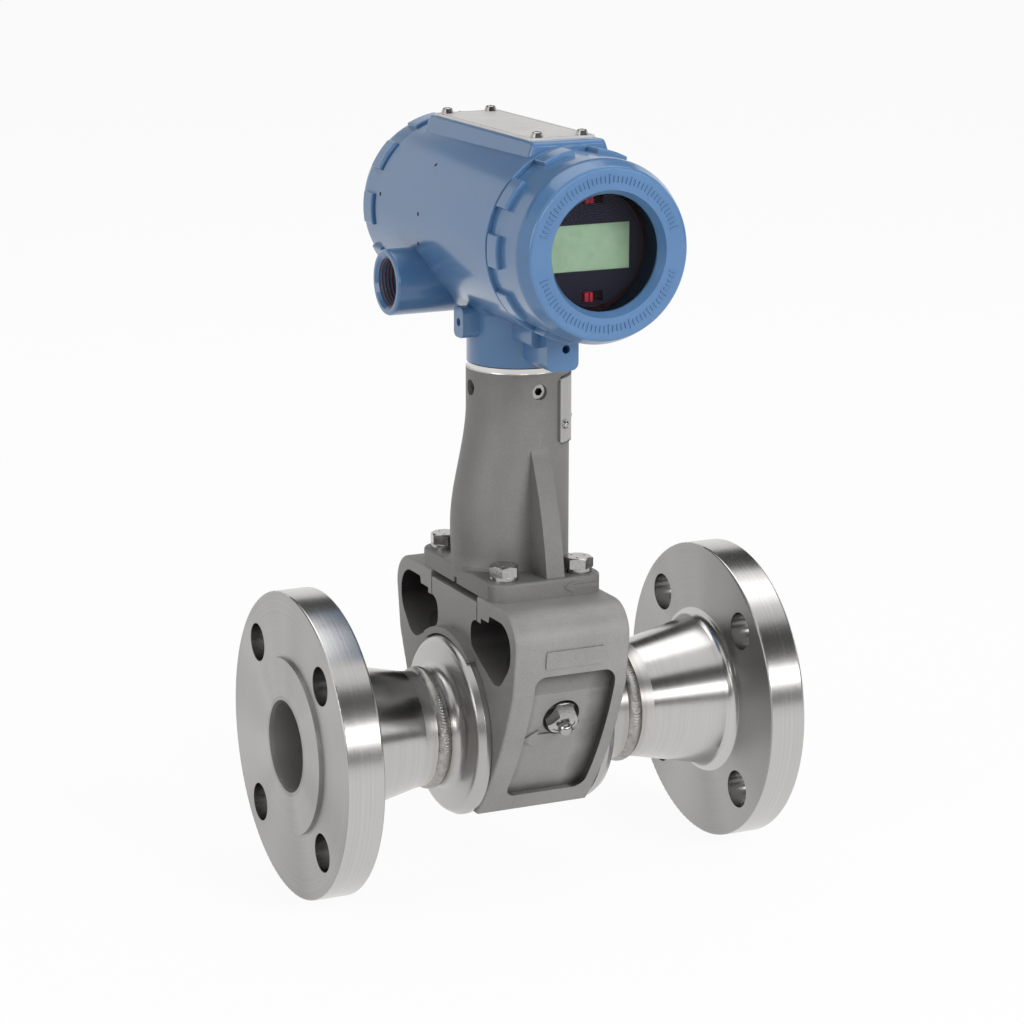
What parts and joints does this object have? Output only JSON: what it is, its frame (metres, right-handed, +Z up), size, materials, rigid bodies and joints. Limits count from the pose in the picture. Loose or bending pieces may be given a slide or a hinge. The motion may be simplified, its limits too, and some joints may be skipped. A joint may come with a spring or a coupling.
{
  "type": "vortex flow meter",
  "caption": "Flanged in-line vortex flow meter: cast body with a bar across its bore, support tube and a blue electronics housing with a windowed display cover.",
  "frame": {"origin": "centre of the inlet flange's bolt circle, on its bolt face behind the raised face", "axes": "+X along the pipe axis out of the inlet flange, against the flow; +Z up the support tube; -Y is the way the display faces at rest"},
  "size_m": [0.2083, 0.1643, 0.3135],
  "materials": {
    "blasted_casting": "bead blasted stainless casting",
    "turned_steel": "turned stainless steel",
    "weld_metal": "rippled weld bead",
    "bright_fastener": "bright stainless fastener",
    "inner_steel": "machined stainless, inside",
    "blue_paint": "glossy blue enamel",
    "bare_plate": "brushed bare plate",
    "clear_glass": "clear",
    "seal_rubber": "satin black",
    "cable_jacket": "satin",
    "potting": "dark potting",
    "circuit_board": "dark lacquer",
    "bezel_plastic": "navy, matte",
    "display_glass": "pale green, blank",
    "red_knob": "red, satin",
    "terminal_plastic": "black, matte",
    "plated_screw": "nickel plated brass"
  },
  "bodies": {
    "meter": {"meter_body": "blasted_casting", "meter_belly": "blasted_casting", "inlet_body_end": "turned_steel", "outlet_body_end": "turned_steel", "inlet_flange": "turned_steel", "outlet_flange": "turned_steel", "inlet_weld": "weld_metal", "outlet_weld": "weld_metal", "vortex_sensor": "inner_steel", "sensor_seal": "seal_rubber", "sensor_nut": "inner_steel", "sensor_cable": "cable_jacket", "cavity_stub": "bright_fastener", "cavity_washers": "bright_fastener", "cavity_nut": "bright_fastener", "neck": "blasted_casting", "plate_bolts": "bright_fastener", "plate_spring_washers": "bright_fastener", "set_screws": "bright_fastener", "stem_o_ring": "seal_rubber", "tag_plate": "bare_plate", "tag_rivets": "bright_fastener"},
    "head": {"housing": "blue_paint", "nameplate": "bare_plate", "nameplate_screws": "bright_fastener", "electronics_module": "potting", "module_screws": "plated_screw", "display_standoffs": "plated_screw", "display_board": "circuit_board", "display_bezel": "bezel_plastic", "display_lcd": "display_glass", "terminal_block": "terminal_plastic", "terminal_screws": "plated_screw", "earth_screw": "plated_screw"},
    "front_seal": {"front_cover_o_ring": "seal_rubber"},
    "front_cap": {"front_cover": "blue_paint", "front_glass": "clear_glass", "glass_retainer": "inner_steel"},
    "rear_seal": {"rear_cover_o_ring": "seal_rubber"},
    "rear_cap": {"rear_cover": "blue_paint"},
    "alarm_knob": {"alarm_switch": "red_knob"},
    "security_knob": {"security_switch": "red_knob"}
  },
  "joints": [
    {"name": "housing_turn", "type": "hinge", "parent": "meter", "child": "head", "pos_m": [-0.10255, 0, 0.152], "axis": [0, 0, 1], "range_deg": [-180, 180]},
    {"name": "front_cover_travel", "type": "slide", "parent": "head", "child": "front_seal", "axis": [0, -1, 0], "range_m": [0, 0.0101]},
    {"name": "front_cover_turn", "type": "hinge", "parent": "front_seal", "child": "front_cap", "pos_m": [-0.10255, -0.0515, 0.2075], "axis": [0, -1, 0], "range_deg": [0, 1800]},
    {"name": "rear_cover_travel", "type": "slide", "parent": "head", "child": "rear_seal", "axis": [0, 1, 0], "range_m": [0, 0.0101]},
    {"name": "rear_cover_turn", "type": "hinge", "parent": "rear_seal", "child": "rear_cap", "pos_m": [-0.10255, 0.0613, 0.2075], "axis": [0, 1, 0], "range_deg": [0, 1800]},
    {"name": "alarm_switch_slide", "type": "slide", "parent": "head", "child": "alarm_knob", "axis": [1, 0, 0], "range_m": [0, 0.004]},
    {"name": "security_switch_slide", "type": "slide", "parent": "head", "child": "security_knob", "axis": [1, 0, 0], "range_m": [0, 0.004]}
  ],
  "couplings": [
    {"joint": "front_cover_travel", "follows": "front_cover_turn", "m_per_rad": 0.00031831},
    {"joint": "rear_cover_travel", "follows": "rear_cover_turn", "m_per_rad": 0.00031831}
  ]
}
